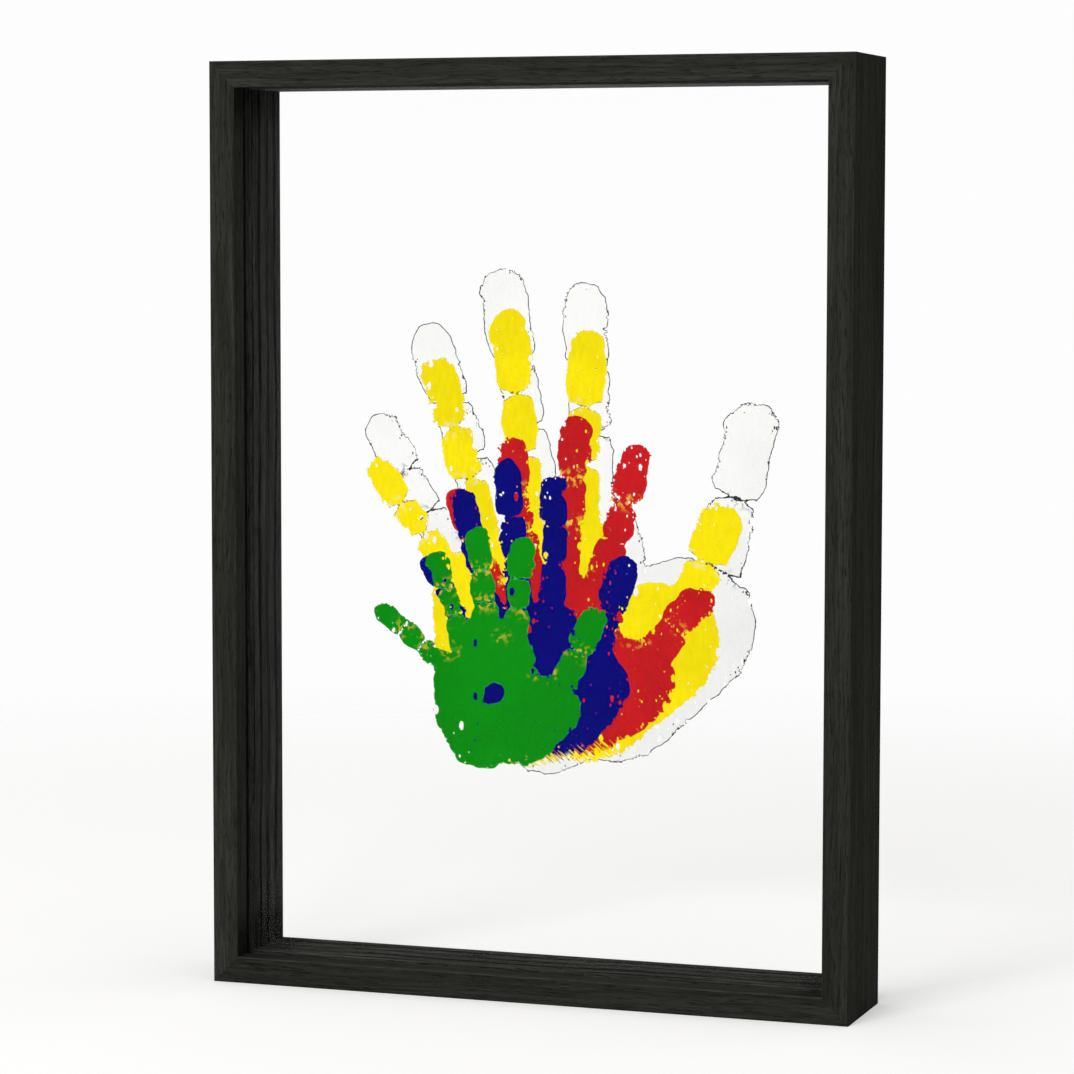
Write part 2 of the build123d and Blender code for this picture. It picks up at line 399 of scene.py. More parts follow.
def stained_wood(name, side, relief, tone_and_shade, contrast, wear_and_highlight, joint_dark, joints,
                 ridges=0.0, stretch=1.0, shine=0.0):
    """Black-stained wood with its grain along a side's length, dark joints, a little dust, arrises
    lightened as wear and painted highlight, and painted shade in the inner corners.
    """
    material, tree, shader = new_material(name)
    place = add(tree, "ShaderNodeTexCoord").outputs["Object"]
    parts = add(tree, "ShaderNodeSeparateXYZ", {0: place}).outputs
    normal = add(tree, "ShaderNodeNewGeometry").outputs["True Normal"]
    facing = add(tree, "ShaderNodeSeparateXYZ", {0: normal}).outputs
    to_front = calc(tree, "GREATER_THAN", calc(tree, "ABSOLUTE", facing["Y"], 0.0), 0.5)
    level = side in ("top", "bottom")
    along, across = (parts["X"], parts["Z"]) if level else (parts["Z"], parts["X"])
    grain_place = add(tree, "ShaderNodeCombineXYZ", {
        "X": along, "Y": calc(tree, "MULTIPLY", parts["Y"], stretch), "Z": across}).outputs[0]
    grain = add(tree, "ShaderNodeGroup", {
        "Along": grain_place, "Relief": relief, "Tone": tone_and_shade, "Contrast": contrast,
        "Ridges": calc(tree, "MULTIPLY", calc(tree, "SUBTRACT", 1.0, to_front), ridges),
        "First Ridge": strip_joints[0] * stretch, "Ridge Spacing": ridge_spacing * stretch,
    }, node_tree=grain_tree).outputs
    edge = add(tree, "ShaderNodeGroup", node_tree=edge_tree).outputs
    # The arrises are lightened: partly wear, partly a painted highlight.
    colour = blend_of(tree, calc(tree, "MULTIPLY", edge["Mask"], wear_and_highlight), grain["Colour"], wear_and_highlight_colour)

    inner, slot_wall, middle, half_length = inner_wall[side]
    inside = calc(tree, "SUBTRACT", joint_reach, apart(tree, across, inner))
    on_inner = calc(tree, "GREATER_THAN", inside, to_front)
    for joint in joints:
        from_joint = apart(tree, parts["Y"], joint)
        colour = darkened(tree, colour, from_joint, joint_reach, joint_dark, on_inner)
    in_slot = calc(tree, "MULTIPLY", to_front, 1.0 if ridges else 0.0)
    from_slot = apart(tree, across, slot_wall)
    colour = darkened(tree, colour, from_slot, joint_reach, joint_dark, in_slot)
    # Painted shade: the inner faces darken towards the inner corners of the frame.
    from_corner = calc(tree, "SUBTRACT", half_length, apart(tree, along, middle))
    colour = darkened(tree, colour, from_corner, painted_shade_reach, painted_shade_share, on_inner)
    dusty = calc(tree, "MULTIPLY", ramp(tree, facing["Z"], dust_from, dust_full), dust_share)
    colour = blend_of(tree, dusty, colour, dust_colour)

    bump = add(tree, "ShaderNodeBump", {
        "Height": grain["Height"], "Distance": bump_distance, "Normal": edge["Normal"]})
    tree.links.new(colour, shader.inputs["Base Color"])
    tree.links.new(grain["Roughness"], shader.inputs["Roughness"])
    tree.links.new(bump.outputs[0], shader.inputs["Normal"])
    shader.inputs["Specular IOR Level"].default_value = shine
    return material


# %% [markdown]
# The rails are planed and the strips are not, so the strips have the deeper relief. The
# tones of the sides differ partly as painted shade: the bottom rail is darkest and the right
# rail next. Light skims the underside of the top strips, and there even a matt stain shines a little.

# %% Stain the four sides
rail_relief, rail_contrast, rail_wear_and_highlight = 0.45, 0.85, 0.3
strip_relief, strip_contrast, strip_wear_and_highlight = 1.2, 1.55, 0.2
# The rail tones are partly painted shade, darker on the right and bottom rails; the strip tones differ
# only a little.
sides = {
    "left": {"rail": 0.83, "strip": 0.96, "joints": 0.85, "ridges": 1.4, "stretch": 1.0, "shine": 0.0},
    "right": {"rail": 0.77, "strip": 0.96, "joints": 0.85, "ridges": 1.4, "stretch": 1.0, "shine": 0.0},
    "top": {"rail": 0.88, "strip": 0.98, "joints": 0.3, "ridges": 0.5, "stretch": 0.5, "shine": 0.4},
    "bottom": {"rail": 0.66, "strip": 0.98, "joints": 0.3, "ridges": 1.4, "stretch": 0.5, "shine": 0.0},
}
for side, board in sides.items():
    rail_wood = stained_wood(
        f"{side}_rail_wood", side, rail_relief, board["rail"], rail_contrast, rail_wear_and_highlight,
        board["joints"], lip_joint)
    strip_wood = stained_wood(
        f"{side}_strip_wood", side, strip_relief, board["strip"], strip_contrast, strip_wear_and_highlight,
        board["joints"], strip_joints, board["ridges"], board["stretch"], board["shine"])
    finish_with(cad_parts[f"{side}_rail"], rail_wood)
    finish_with(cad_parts[f"{side}_spacer"], strip_wood)
    finish_with(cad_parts[f"{side}_bead"], strip_wood)
print("stained", len(sides), "rails and", 2 * len(sides), "strips")

# %% [markdown]
# The panes are clear sheet, 3 mm thick, with flame-polished edges. Each is a box with its
# twelve edges bevelled, a hair thinner than its slot so that no face touches the wood. Plain
# sheet has an index near 1.5 and mirrors 8 percent of the room, which lays a grey veil over
# the paint. Picture glazing is coated against that, so its index here is close to that of
# air. Clear sheet blocks no light either, so it is left out of shadow and bounce rays, and
# the floor's shadow stays as pale as it is in a room.

# %% The clear panes
pane_air = 0.01 * mm
pane_bevel = 0.25 * mm
pane_tint = (0.998, 1.0, 0.999, 1)
coated_index = 1.06


def let_light_past(piece):
    """Light goes past the piece, so that it leaves no shadow."""
    piece.visible_shadow = False
    piece.visible_diffuse = False


def box_piece(name, low, high, bevel, segments=3):
    """A box between two corners, bevelled and left flat, so that its faces stay optically flat."""
    bpy.ops.object.select_all(action="DESELECT")
    bpy.ops.mesh.primitive_cube_add(size=1.0, location=(low + high) / 2, scale=high - low)
    piece = bpy.context.object
    piece.name = name
    bpy.ops.object.transform_apply(location=True, rotation=False, scale=True)
    open_piece(piece)
    bpy.ops.mesh.bevel(offset=bevel, segments=segments)
    bpy.ops.object.mode_set(mode="OBJECT")
    return piece


pane_clear, _, pane_shader = new_material("clear_sheet")
pane_shader.inputs["Base Color"].default_value = pane_tint
pane_shader.inputs["Roughness"].default_value = 0.0
pane_shader.inputs["IOR"].default_value = coated_index
pane_shader.inputs["Transmission Weight"].default_value = 1.0
for node in ("front_pane", "rear_pane"):
    low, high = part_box(node)
    air = Vector((pane_air,) * 3)
    pane = box_piece(f"{node}_sheet", low + air, high - air, pane_bevel)
    finish_with(pane, pane_clear)
    let_light_past(pane)
    stand_in(pane, "root", node)
    print(pane.name, [round(v / mm, 2) for v in pane.dimensions], "mm")

# %% [markdown]
# The paint needs something to sit on: a thin clear film, held between the panes. It could be
# a third sheet of the same clear material, but light would then bend twice more on its way
# to the eye. Nobody sees the film itself, so it is nearly all see-through instead.

# %% The film that carries the paint
film_air = 0.05 * mm
film_roughness = 0.15
film_alpha = 0.004
low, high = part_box("print_film")
low.y += film_air
high.y -= film_air
film = box_piece("print_film_sheet", low, high, film_air / 2, 1)
film_material, _, film_shader = new_material("clear_film")
film_shader.inputs["Base Color"].default_value = grey(0.9)
film_shader.inputs["Roughness"].default_value = film_roughness
film_shader.inputs["Alpha"].default_value = film_alpha
finish_with(film, film_material)
let_light_past(film)
stand_in(film, "root", "print_film")
print(film.name, [round(v / mm, 2) for v in film.dimensions], "mm")

# %% [markdown]
# A print is paint pressed off a palm: the edge is ragged, there are pinholes where the skin
# did not touch, and nothing prints in the creases of the fingers. The CAD layer is a smooth
# outline. In it, a crease of a finger is a pair of notches that face each other, so each pair
# of sharp inward corners that are nearest to one another gives the two ends of a crease.

# %% Find the creases of a hand
notch_turn = math.radians(50)
crease_reach_share = 0.12
front_facing = -0.9
far_away = 1.0


def creases_of(piece, length):
    """Pairs of facing notches in a flat outline: each pair is the two ends of a crease."""
    mesh = bmesh.new()
    mesh.from_mesh(piece.data)
    notches = []
    for corner in mesh.verts:
        around = [loop for loop in corner.link_loops if loop.face.normal.y < front_facing]
        inside = sum(loop.calc_angle() for loop in around)
        if around and inside > math.pi + notch_turn:
            notches.append(corner.co.copy())
    mesh.free()
    pairs = []
    for index, one in enumerate(notches):
        others = [(one - other).length for other in notches]
        others[index] = length
        nearest = int(np.argmin(others))
        back = [(notches[nearest] - other).length for other in notches]
        back[nearest] = length
        mutual = int(np.argmin(back)) == index
        if nearest > index and mutual and others[nearest] < length * crease_reach_share:
            pairs.append((one, notches[nearest]))
    return pairs


def distance_to_lines(points, lines):
    """How far each point (x, z) is from the nearest of some straight lines."""
    least = np.full(len(points), far_away)
    for one, other in lines:
        start = np.array((one.x, one.z))
        way = np.array((other.x, other.z)) - start
        along = np.clip((points - start) @ way / (way @ way), 0, 1)
        least = np.minimum(least, np.linalg.norm(points - start - along[:, None] * way, axis=1))
    return least


# %% [markdown]
# The outline is thickened, remeshed to an even grid of small faces, flattened again and
# pushed about by noise, because only an even grid can wobble evenly. Two distances are then
# stored on each point, to the nearest edge and to the nearest crease, and the paint's
# material frays and cracks along them.

# %% Turn a smooth layer into an even sheet of paint
grid_size = 1.0 * mm
thick = 7.0 * mm
paint_thick = 0.06 * mm
wobbles = (
    ("X", "ORIGINAL_PERLIN", 15.0 * mm, 4.5 * mm), ("Z", "IMPROVED_PERLIN", 15.0 * mm, 4.5 * mm),
    ("X", "IMPROVED_PERLIN", 4.0 * mm, 2.0 * mm), ("Z", "ORIGINAL_PERLIN", 4.0 * mm, 2.0 * mm),
)


def flatten(piece, middle, factor):
    """Stretch or squash a piece in Y about a plane."""
    open_piece(piece)
    bpy.ops.transform.resize(value=(1, factor, 1), center_override=(0, middle, 0))
    bpy.ops.object.mode_set(mode="OBJECT")


def paint_sheet(colour):
    """One print as a thin sheet of even faces, with its edge and crease distances in mm."""
    node = f"{colour}_print"
    low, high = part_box(node)
    middle = (low.y + high.y) / 2
    piece = copy_of(node, f"{colour}_paint")
    lines = creases_of(piece, high.z - low.z)
    flatten(piece, middle, thick / (high.y - low.y))
    remesh = piece.modifiers.new("even", "REMESH")
    remesh.mode = "VOXEL"
    remesh.voxel_size = grid_size
    bpy.ops.object.modifier_apply(modifier="even")
    rim = [p.index for p in piece.data.vertices if abs(p.co.y - middle) < thick / 2 - grid_size]
    flatten(piece, middle, paint_thick / thick)
    for number, (axis, basis, size, reach) in enumerate(wobbles):
        cloud = bpy.data.textures.new(f"{colour}_wobble_{number}", "CLOUDS")
        cloud.noise_basis = basis
        cloud.noise_scale = size
        push = piece.modifiers.new("wobble", "DISPLACE")
        push.texture = cloud
        push.direction = axis
        push.texture_coords = "LOCAL"
        push.strength = reach
        bpy.ops.object.modifier_apply(modifier="wobble")
    places = np.array([(p.co.x, p.co.z) for p in piece.data.vertices])
    rim_tree = KDTree(len(rim))
    for number, index in enumerate(rim):
        rim_tree.insert((*places[index], 0), number)
    rim_tree.balance()
    edge = np.array([rim_tree.find((x, z, 0))[2] for x, z in places]) / mm
    crease = distance_to_lines(places, lines) / mm
    for name, values in (("edge_mm", edge), ("crease_mm", crease)):
        stored = piece.data.attributes.new(name, "FLOAT", "POINT")
        stored.data.foreach_set("value", values.astype(np.float32))
    print(piece.name, len(piece.data.polygons), "faces,", len(lines), "creases")
    return piece


# %% [markdown]
# The paint is one node group with many inputs, so that five paints differ only in numbers.
# It works out how much paint there is at a point. It starts from the distance to the edge
# and takes away noise, so the edge frays. It opens holes in the cells of a Voronoi pattern,
# a crack along each crease, and dry streaks at the heel, where the palm left last.

# %% The paint group: its sockets and its noise
paint_sockets = [
    ("Colour", "NodeSocketColor"), ("Rim Colour", "NodeSocketColor"),
    ("Smear Colour", "NodeSocketColor"),
    ("Rim Width", "NodeSocketFloat"), ("Rim Share", "NodeSocketFloat"), ("Fray", "NodeSocketFloat"),
    ("Softness", "NodeSocketFloat"), ("Holes", "NodeSocketFloat"), ("Pepper", "NodeSocketFloat"),
    ("Crease", "NodeSocketFloat"), ("Dry", "NodeSocketFloat"), ("Smear", "NodeSocketFloat"),
    ("Mottle", "NodeSocketFloat"), ("Palm", "NodeSocketFloat"),
    ("Heel", "NodeSocketFloat"), ("Shift", "NodeSocketFloat"),
]
paint_tree, paint_in, paint_out = new_group(
    "pressed_paint", [(*socket, None) for socket in paint_sockets],
    [("Colour", "NodeSocketColor"), ("Roughness", "NodeSocketFloat"),
     ("Alpha", "NodeSocketFloat"), ("Height", "NodeSocketFloat")],
)
paint_add = partial(add, paint_tree)
paint_calc = partial(calc, paint_tree)
paint_ramp = partial(ramp, paint_tree)
paint_place = paint_add("ShaderNodeTexCoord").outputs["Object"]
paint_parts = paint_add("ShaderNodeSeparateXYZ", {0: paint_place}).outputs
spot = paint_add("ShaderNodeCombineXYZ", {
    "X": paint_parts["X"], "Y": paint_in["Shift"], "Z": paint_parts["Z"]}).outputs[0]


def paint_noise(across_mm, detail=2.0, along_mm=None, turn=0.0):
    """Noise with blotches this wide, and this long where they are streaks."""
    turned = paint_add("ShaderNodeVectorRotate", {
        "Vector": spot, "Angle": math.radians(turn)}, rotation_type="Y_AXIS").outputs[0]
    scale = (1 / (across_mm * mm), 1.0, 1 / ((along_mm or across_mm) * mm))
    scaled = paint_add("ShaderNodeVectorMath", {0: turned, 1: scale}, operation="MULTIPLY")
    into = {"Vector": scaled.outputs[0], "Scale": 1.0, "Detail": detail}
    return paint_add("ShaderNodeTexNoise", into).outputs["Fac"]


def paint_cells(size_mm, turn):
    """Random cells, a little longer than wide: distance from a cell's middle, and its chance."""
    mapped = paint_add("ShaderNodeMapping", {
        "Vector": spot, "Rotation": (0, math.radians(turn), 0),
        "Scale": (1 / (size_mm * mm), 1, 0.6 / (size_mm * mm))}).outputs[0]
    cells = paint_add("ShaderNodeTexVoronoi", {"Vector": mapped, "Scale": 1.0}).outputs
    chance = paint_add("ShaderNodeSeparateXYZ", {0: cells["Color"]}).outputs["X"]
    return cells["Distance"], chance


# %% The paint group: a frayed edge and cracked creases
edge_mm = paint_add("ShaderNodeAttribute", attribute_name="edge_mm").outputs["Fac"]
crease_mm = paint_add("ShaderNodeAttribute", attribute_name="crease_mm").outputs["Fac"]
coarse = paint_noise(3.6)
fine = paint_noise(0.9)
patches = paint_noise(15.0)
rough_patch = paint_ramp(patches, 0.44, 0.62, 0.22, 2.0)
bite = paint_calc("MULTIPLY", paint_calc("SUBTRACT", coarse, 0.44), 5.0)
nibble = paint_calc("MULTIPLY", paint_calc("SUBTRACT", fine, 0.40), 2.4)
fray = paint_calc("MULTIPLY", paint_calc("ADD", bite, nibble), paint_in["Fray"])
fray = paint_calc("MULTIPLY", paint_calc("MAXIMUM", fray, 0.0), rough_patch)
from_edge = paint_calc("SUBTRACT", edge_mm, fray)
inked = paint_ramp(from_edge, 0.05, paint_in["Softness"])

gape = paint_ramp(paint_noise(5.0), 0.35, 0.65, -0.3, 0.5)
gape = paint_calc("ADD", gape, paint_ramp(edge_mm, 0.0, 4.5, 2.6, 0.0, smooth=False))
gape = paint_calc("MULTIPLY", gape, paint_in["Crease"])
gape = paint_calc("MULTIPLY_ADD", paint_calc("SUBTRACT", fine, 0.5), 0.9, gape)
from_crease = paint_calc("SUBTRACT", crease_mm, gape)
uncracked = paint_ramp(from_crease, 0.0, 0.12)
print("edge and creases:", len(paint_tree.nodes), "nodes")

# %% The paint group: pinholes and dry streaks
hole_cells = ((2.6, 25, 0.38), (1.2, -15, 0.34))
dry_height = 15 * mm
streak_lean = 52
near_edge_share = paint_ramp(edge_mm, 0.0, 6.0, 1.0, 0.25)
busy = paint_calc("MULTIPLY", near_edge_share, paint_ramp(patches, 0.46, 0.60, 0.15, 1.0))
busy = paint_calc("MULTIPLY", busy, paint_in["Holes"])
unholed = 1.0
for cell_mm, turn, largest in hole_cells:
    hole_distance, hole_chance = paint_cells(cell_mm, turn)
    rarely = paint_calc("SUBTRACT", 1.0, busy)
    hole_size = paint_ramp(hole_chance, rarely, 1.0, 0.0, largest, smooth=False)
    hole_edge = paint_calc("MULTIPLY_ADD", paint_calc("SUBTRACT", fine, 0.5), 0.4, hole_distance)
    hole = paint_ramp(paint_calc("SUBTRACT", hole_edge, hole_size), 0.0, 0.05)
    unholed = paint_calc("MULTIPLY", unholed, hole)

above_heel = paint_calc("SUBTRACT", paint_parts["Z"], paint_in["Heel"])
dry = paint_calc("MULTIPLY", paint_ramp(above_heel, 0.0, dry_height, 1.0, 0.0), paint_in["Dry"])
dry = paint_calc("MULTIPLY", dry, paint_ramp(edge_mm, 1.0, 9.0, 1.0, 0.3))
streaks = paint_noise(0.55, detail=1.0, along_mm=7.0, turn=streak_lean)
left_dry = paint_calc("SUBTRACT", streaks, paint_calc("MULTIPLY_ADD", dry, 0.42, 0.22))
undry = paint_calc("MAXIMUM", paint_ramp(left_dry, 0.0, 0.03), paint_calc("LESS_THAN", dry, 0.02))
cover = paint_calc("MULTIPLY", inked, uncracked)
cover = paint_calc("MULTIPLY", cover, paint_calc("MULTIPLY", unholed, undry))
print("holes and streaks too:", len(paint_tree.nodes), "nodes")

# %% [markdown]
# Pressed paint isn't one flat colour. It mottles where it lies thick or thin, the palm can be
# a little darker than the fingers, and wet colours smear into each other at the creases. A
# fine line of another tone runs along parts of the edge, where the paint was squeezed out,
# and a little pepper lies beside it.

# %% The paint group: its tone and its smears
palm_low, palm_high = 75 * mm, 110 * mm
tint = paint_ramp(paint_noise(1.6, detail=4.0, along_mm=5.0), 0.3, 0.7, -1.0, 1.0)
thin_spot = paint_ramp(paint_noise(30.0, detail=1.0), 0.4, 0.6, -1.0, 1.0)
tint = paint_calc("MULTIPLY", paint_calc("ADD", tint, thin_spot), paint_in["Mottle"])
tint = paint_calc("ADD", tint, 1.0)
in_palm = paint_ramp(above_heel, palm_low, palm_high, 1.0, 0.0)
thin_palm = paint_calc("MULTIPLY", in_palm, paint_in["Palm"])
tint = paint_calc("MULTIPLY", tint, paint_calc("SUBTRACT", 1.0, thin_palm))
tinted = paint_add("ShaderNodeVectorMath", {
    0: paint_in["Colour"], "Scale": tint}, operation="SCALE").outputs[0]
smear = paint_calc("MULTIPLY", paint_ramp(crease_mm, 0.3, 5.0, 1.0, 0.0), paint_ramp(patches, 0.42, 0.50))
smear = paint_calc("MULTIPLY", smear, paint_ramp(paint_noise(2.4, detail=4.0), 0.52, 0.58))
smear = paint_calc("MULTIPLY", smear, paint_in["Smear"])
smeared = blend_of(paint_tree, smear, tinted, paint_in["Smear Colour"])

# %% The paint group: its rim and its pepper
pepper_mm, pepper_turn, pepper_size = 1.2, -40, 0.24
pepper_distance, pepper_chance = paint_cells(pepper_mm, pepper_turn)
peppered = paint_calc("MULTIPLY", paint_ramp(edge_mm, 0.5, 4.0, 1.0, 0.0), paint_ramp(patches, 0.48, 0.58))
peppered = paint_calc("MULTIPLY", peppered, paint_in["Pepper"])
pepper = paint_calc("GREATER_THAN", pepper_chance, paint_calc("SUBTRACT", 1.0, peppered))
pepper = paint_calc("MULTIPLY", pepper, paint_calc("LESS_THAN", pepper_distance, pepper_size))
in_rim = paint_calc("LESS_THAN", from_edge, paint_in["Rim Width"])
in_crease = paint_calc("LESS_THAN", paint_calc("SUBTRACT", from_crease, 0.1), paint_in["Rim Width"])
rim_gate = paint_calc("LESS_THAN", paint_noise(1.7, detail=1.0), paint_in["Rim Share"])
rim_mask = paint_calc("MULTIPLY", paint_calc("MAXIMUM", in_rim, in_crease), rim_gate)
rim_mask = paint_calc("MAXIMUM", rim_mask, pepper)
painted = blend_of(paint_tree, rim_mask, smeared, paint_in["Rim Colour"])
bead = paint_ramp(from_edge, 0.0, 0.7, 0.7, 0.0)
paint_height = paint_calc("ADD", paint_noise(1.3, detail=3.0), bead)
paint_roughness = paint_ramp(paint_noise(3.0), 0.3, 0.7, 0.42, 0.62)
paint_tree.links.new(painted, paint_out.inputs["Colour"])
paint_tree.links.new(paint_roughness, paint_out.inputs["Roughness"])
paint_tree.links.new(cover, paint_out.inputs["Alpha"])
paint_tree.links.new(paint_height, paint_out.inputs["Height"])
print("whole paint group:", len(paint_tree.nodes), "nodes")

# %% [markdown]
# The five paints are craft paints in plain colours. White on a white wall is seen only by the
# dark line along its edge, so that line is broad, and the paint itself hardly mottles. Red
# has the most holes. Red and green carry a little yellow, as if the layer below was still wet.

# %% The five paints
paints = {
    "white": {
        "Colour": (0.965, 0.967, 0.945, 1), "Rim Colour": grey(0.03), "Smear Colour": grey(0.38),
        "Rim Width": 0.42, "Rim Share": 0.80, "Fray": 0.50, "Softness": 0.10, "Holes": 0.35,
        "Pepper": 0.85, "Crease": 0.7, "Dry": 0.0, "Smear": 0.9, "Mottle": 0.015, "Palm": 0.07},
    "yellow": {
        "Colour": (0.95, 0.78, 0.002, 1), "Rim Colour": (0.22, 0.18, 0.02, 1),
        "Smear Colour": grey(0.80),
        "Rim Width": 0.22, "Rim Share": 0.50, "Fray": 0.62, "Softness": 0.60, "Holes": 0.45,
        "Pepper": 0.0, "Crease": 0.8, "Dry": 0.7, "Smear": 0.4, "Mottle": 0.04, "Palm": 0.0},
    "red": {
        "Colour": (0.56, 0.010, 0.014, 1), "Rim Colour": (0.66, 0.05, 0.05, 1),
        "Smear Colour": (0.92, 0.62, 0.05, 1),
        "Rim Width": 0.18, "Rim Share": 0.40, "Fray": 0.95, "Softness": 0.14, "Holes": 1.0,
        "Pepper": 0.0, "Crease": 0.18, "Dry": 0.8, "Smear": 0.8, "Mottle": 0.06, "Palm": 0.0},
    "blue": {
        "Colour": (0.0005, 0.0010, 0.175, 1), "Rim Colour": (0.003, 0.006, 0.30, 1),
        "Smear Colour": (0.002, 0.001, 0.12, 1),
        "Rim Width": 0.18, "Rim Share": 0.40, "Fray": 0.75, "Softness": 0.14, "Holes": 0.75,
        "Pepper": 0.0, "Crease": 0.22, "Dry": 1.0, "Smear": 0.3, "Mottle": 0.06, "Palm": 0.0},
    "green": {
        "Colour": (0.0015, 0.258, 0.004, 1), "Rim Colour": (0.05, 0.42, 0.08, 1),
        "Smear Colour": (0.88, 0.55, 0.05, 1),
        "Rim Width": 0.24, "Rim Share": 0.50, "Fray": 0.62, "Softness": 0.14, "Holes": 0.32,
        "Pepper": 0.0, "Crease": 0.22, "Dry": 0.25, "Smear": 0.65, "Mottle": 0.05, "Palm": 0.0},
}
paint_relief = 0.05 * mm
paint_shine = 0.05


def pressed_paint(colour, heel, shift):
    """The material of one print."""
    material, tree, shader = new_material(f"{colour}_paint")
    into = {**paints[colour], "Heel": heel, "Shift": shift}
    group = add(tree, "ShaderNodeGroup", into, node_tree=paint_tree).outputs
    bump = add(tree, "ShaderNodeBump", {"Height": group["Height"], "Distance": paint_relief})
    tree.links.new(group["Colour"], shader.inputs["Base Color"])
    tree.links.new(group["Roughness"], shader.inputs["Roughness"])
    tree.links.new(group["Alpha"], shader.inputs["Alpha"])
    tree.links.new(bump.outputs[0], shader.inputs["Normal"])
    shader.inputs["Specular IOR Level"].default_value = paint_shine
    return material


for number, colour in enumerate(paints):
    print_piece = paint_sheet(colour)
    heel_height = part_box(f"{colour}_print")[0].z
    finish_with(print_piece, pressed_paint(colour, heel_height, number))
    let_light_past(print_piece)
    stand_in(print_piece, "root", f"{colour}_print")

# %% [markdown]
# The small metal at the rear is zinc-plated steel: six screws, six turn buttons and four
# V-nails. Zinc has a fine crystal pattern and a soft, cloudy shine.

# %% Zinc-plated steel
spangle_size = 0.9 * mm
cloud_size = 2.0 * mm
dark_zinc = (0.50, 0.51, 0.53, 1)
light_zinc = (0.62, 0.62, 0.61, 1)
zinc, zinc_tree, zinc_shader = new_material("zinc_steel")
zinc_place = add(zinc_tree, "ShaderNodeTexCoord").outputs["Object"]
spangle = add(zinc_tree, "ShaderNodeTexVoronoi", {
    "Vector": zinc_place, "Scale": 1 / spangle_size}).outputs["Color"]
spangle_tone = add(zinc_tree, "ShaderNodeSeparateXYZ", {0: spangle}).outputs["X"]
cloudy = add(zinc_tree, "ShaderNodeTexNoise", {
    "Vector": zinc_place, "Scale": 1 / cloud_size, "Detail": 4.0}).outputs["Fac"]
zinc_colour = blend_of(zinc_tree, spangle_tone, dark_zinc, light_zinc)
zinc_tree.links.new(zinc_colour, zinc_shader.inputs["Base Color"])
zinc_tree.links.new(ramp(zinc_tree, cloudy, 0.3, 0.7, 0.28, 0.45), zinc_shader.inputs["Roughness"])
zinc_shader.inputs["Metallic"].default_value = 1.0
finish_with(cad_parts["corner_v_nails"], zinc)
print("zinc:", len(zinc_tree.nodes), "nodes")

# %% [markdown]
# Stamped plate and turned screws have no sharp edge: the punch and the tumbling drum round
# them. So each button and the set of screws is a copy of its CAD node with its edges
# bevelled a little. Every button rides on its own body, which turns about its screw.

# %% The turn buttons and their screws
plate_round = 0.12 * mm
screw_round = 0.08 * mm
sharp_turn = math.radians(30)


def rounded_copy(node, name, width):
    """A copy of a CAD node with its sharp edges rounded."""
    piece = copy_of(node, name)
    bevel = piece.modifiers.new("rounded", "BEVEL")
    bevel.width = width
    bevel.segments = 2
    bevel.limit_method = "ANGLE"
    bevel.angle_limit = sharp_turn
    bpy.ops.object.modifier_apply(modifier="rounded")
    bpy.ops.object.shade_smooth_by_angle(angle=sharp_turn)
    finish_with(piece, zinc)
    print(name, len(piece.data.polygons), "faces")
    return piece


for node in [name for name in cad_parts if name.endswith("_button")]:
    plate = rounded_copy(node, f"{node}_plate", plate_round)
    stand_in(plate, node, node)
screw_set = rounded_copy("button_screws", "screw_set", screw_round)
stand_in(screw_set, "root", "button_screws")

# %% [markdown]
# The studio is a pale floor, a large soft lamp to the upper left and an even white room.
# The floor is lit like anything else, and adds a little light of its own for the camera
# alone, so that it reads white while the frame's shadow stays on it. Far out it fades into
# the room, so that no horizon shows.

# %% The floor
floor_half = 1.4
floor_boost = 0.235
floor_roughness = 0.9
fade_start, fade_end = 0.42, 1.05
bpy.ops.object.select_all(action="DESELECT")
bpy.ops.mesh.primitive_plane_add(size=2 * floor_half, location=(0, 0, 0))
floor = bpy.context.object
floor.name = "floor"
floor_material, floor_tree, floor_shader = new_material("floor")
floor_shader.inputs["Base Color"].default_value = grey(0.90, 0.004)
floor_shader.inputs["Roughness"].default_value = floor_roughness
floor_shader.inputs["Specular IOR Level"].default_value = 0.0
rays = add(floor_tree, "ShaderNodeLightPath").outputs
seen = calc(floor_tree, "MAXIMUM", rays["Is Glossy Ray"], rays["Is Transmission Ray"])
seen = calc(floor_tree, "MAXIMUM", rays["Is Camera Ray"], seen)
glow = add(floor_tree, "ShaderNodeEmission", {
    "Color": grey(1.0, 0.012), "Strength": calc(floor_tree, "MULTIPLY", seen, floor_boost)})
both = add(floor_tree, "ShaderNodeAddShader", {0: floor_shader.outputs[0], 1: glow.outputs[0]})
floor_place = add(floor_tree, "ShaderNodeTexCoord").outputs["Object"]
way_out = add(floor_tree, "ShaderNodeVectorMath", {0: floor_place}, operation="LENGTH")
faded = ramp(floor_tree, way_out.outputs["Value"], fade_start, fade_end)
open_air = add(floor_tree, "ShaderNodeBsdfTransparent")
whole_floor = add(floor_tree, "ShaderNodeMixShader", {
    0: faded, 1: both.outputs[0], 2: open_air.outputs[0]})
floor_tree.links.new(whole_floor.outputs[0], floor_tree.nodes["Material Output"].inputs["Surface"])
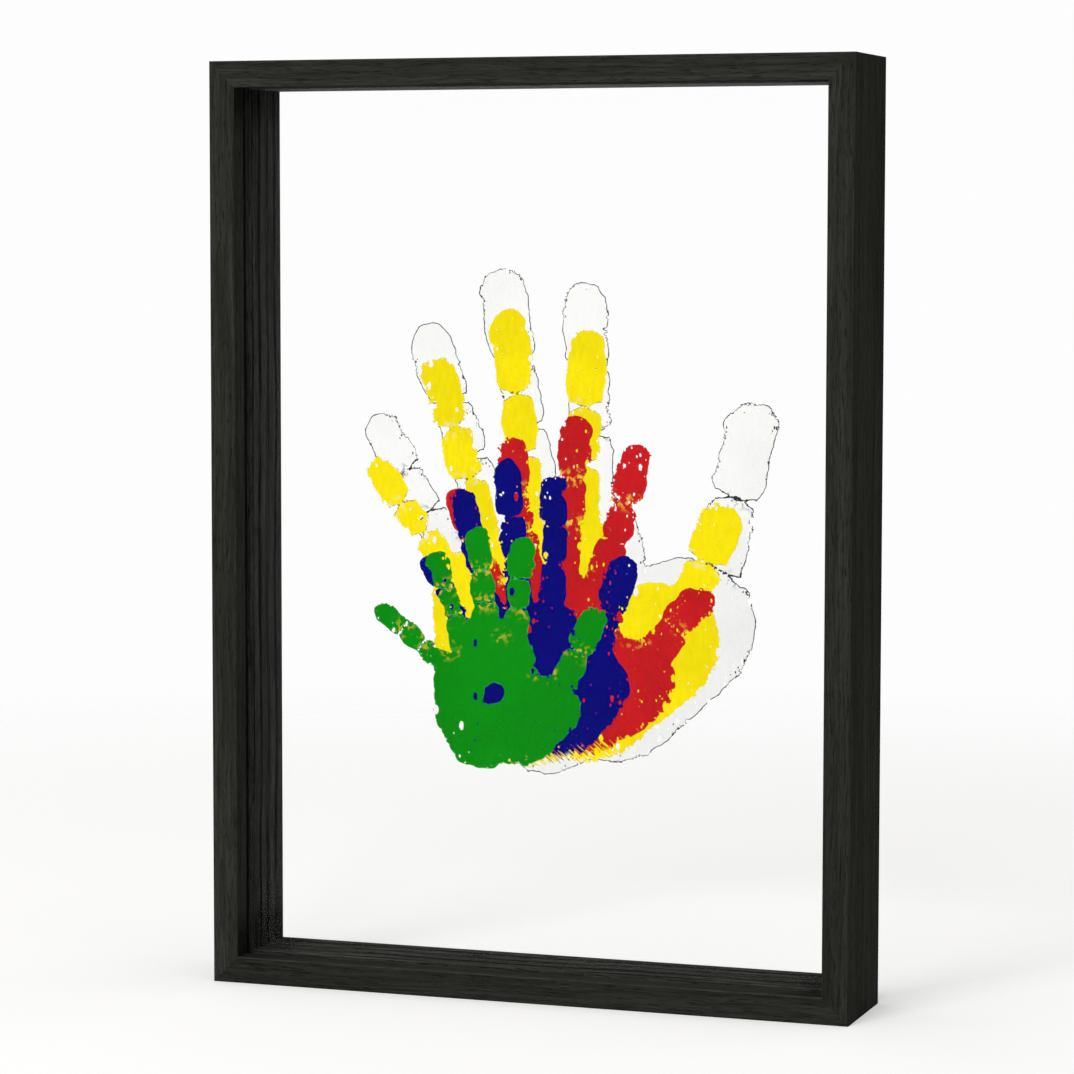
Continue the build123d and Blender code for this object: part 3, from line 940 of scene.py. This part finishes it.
finish_with(floor, floor_material)
print("floor", round(2 * floor_half, 1), "m wide")

# %% [markdown]
# The room lights the frame evenly from all sides. What is seen through or past the frame is
# whiter than the light that falls on it, so the wood stays black against a white wall. What
# shines on the wood comes from behind rather than from the front, as from a window there.

# %% The room
room_fill = 0.53
room_white = 0.985
dark_side, bright_side = 0.1, 0.5
side_turn = 0.35
world = bpy.data.worlds.new("room")
bpy.context.scene.world = world
world.use_nodes = True
sky = world.node_tree
sky_calc = partial(calc, sky)
sky_rays = add(sky, "ShaderNodeLightPath").outputs
sky_place = add(sky, "ShaderNodeTexCoord").outputs["Generated"]
sky_way = add(sky, "ShaderNodeSeparateXYZ", {0: sky_place}).outputs
mirrored = ramp(sky, sky_way["Y"], -side_turn, side_turn, dark_side, bright_side)
seen_through = sky_calc("MAXIMUM", sky_rays["Is Camera Ray"], sky_rays["Is Transmission Ray"])
strength = sky_calc("MULTIPLY_ADD", seen_through, room_white - room_fill, room_fill)
shiny = sky_calc("SUBTRACT", sky_rays["Is Glossy Ray"], seen_through)
shiny = sky_calc("GREATER_THAN", shiny, 0.5)
shiny = sky_calc("MULTIPLY", shiny, sky_calc("SUBTRACT", mirrored, room_fill))
sky.links.new(sky_calc("ADD", strength, shiny), sky.nodes["Background"].inputs["Strength"])
sky.nodes["Background"].inputs["Color"].default_value = grey(1.0)
print("room:", len(sky.nodes), "nodes")

# %% The lamp
lamp_size = 2.8
lamp_power = 110.0
lamp_place = Vector((-0.5, -3.5, 3.05))
lamp_aim = Vector((0.0, 0.0, 0.15))
lamp = bpy.data.objects.new("soft_lamp", bpy.data.lights.new("soft_lamp", "AREA"))
bpy.context.collection.objects.link(lamp)
lamp.data.shape = "DISK"
lamp.data.size = lamp_size
lamp.data.energy = lamp_power
lamp.location = lamp_place
lamp.rotation_euler = (lamp_aim - lamp_place).to_track_quat("-Z", "Y").to_euler()
bpy.context.scene.view_settings.view_transform = "Standard"
print("lamp", round((lamp_aim - lamp_place).length, 2), "m from the frame")
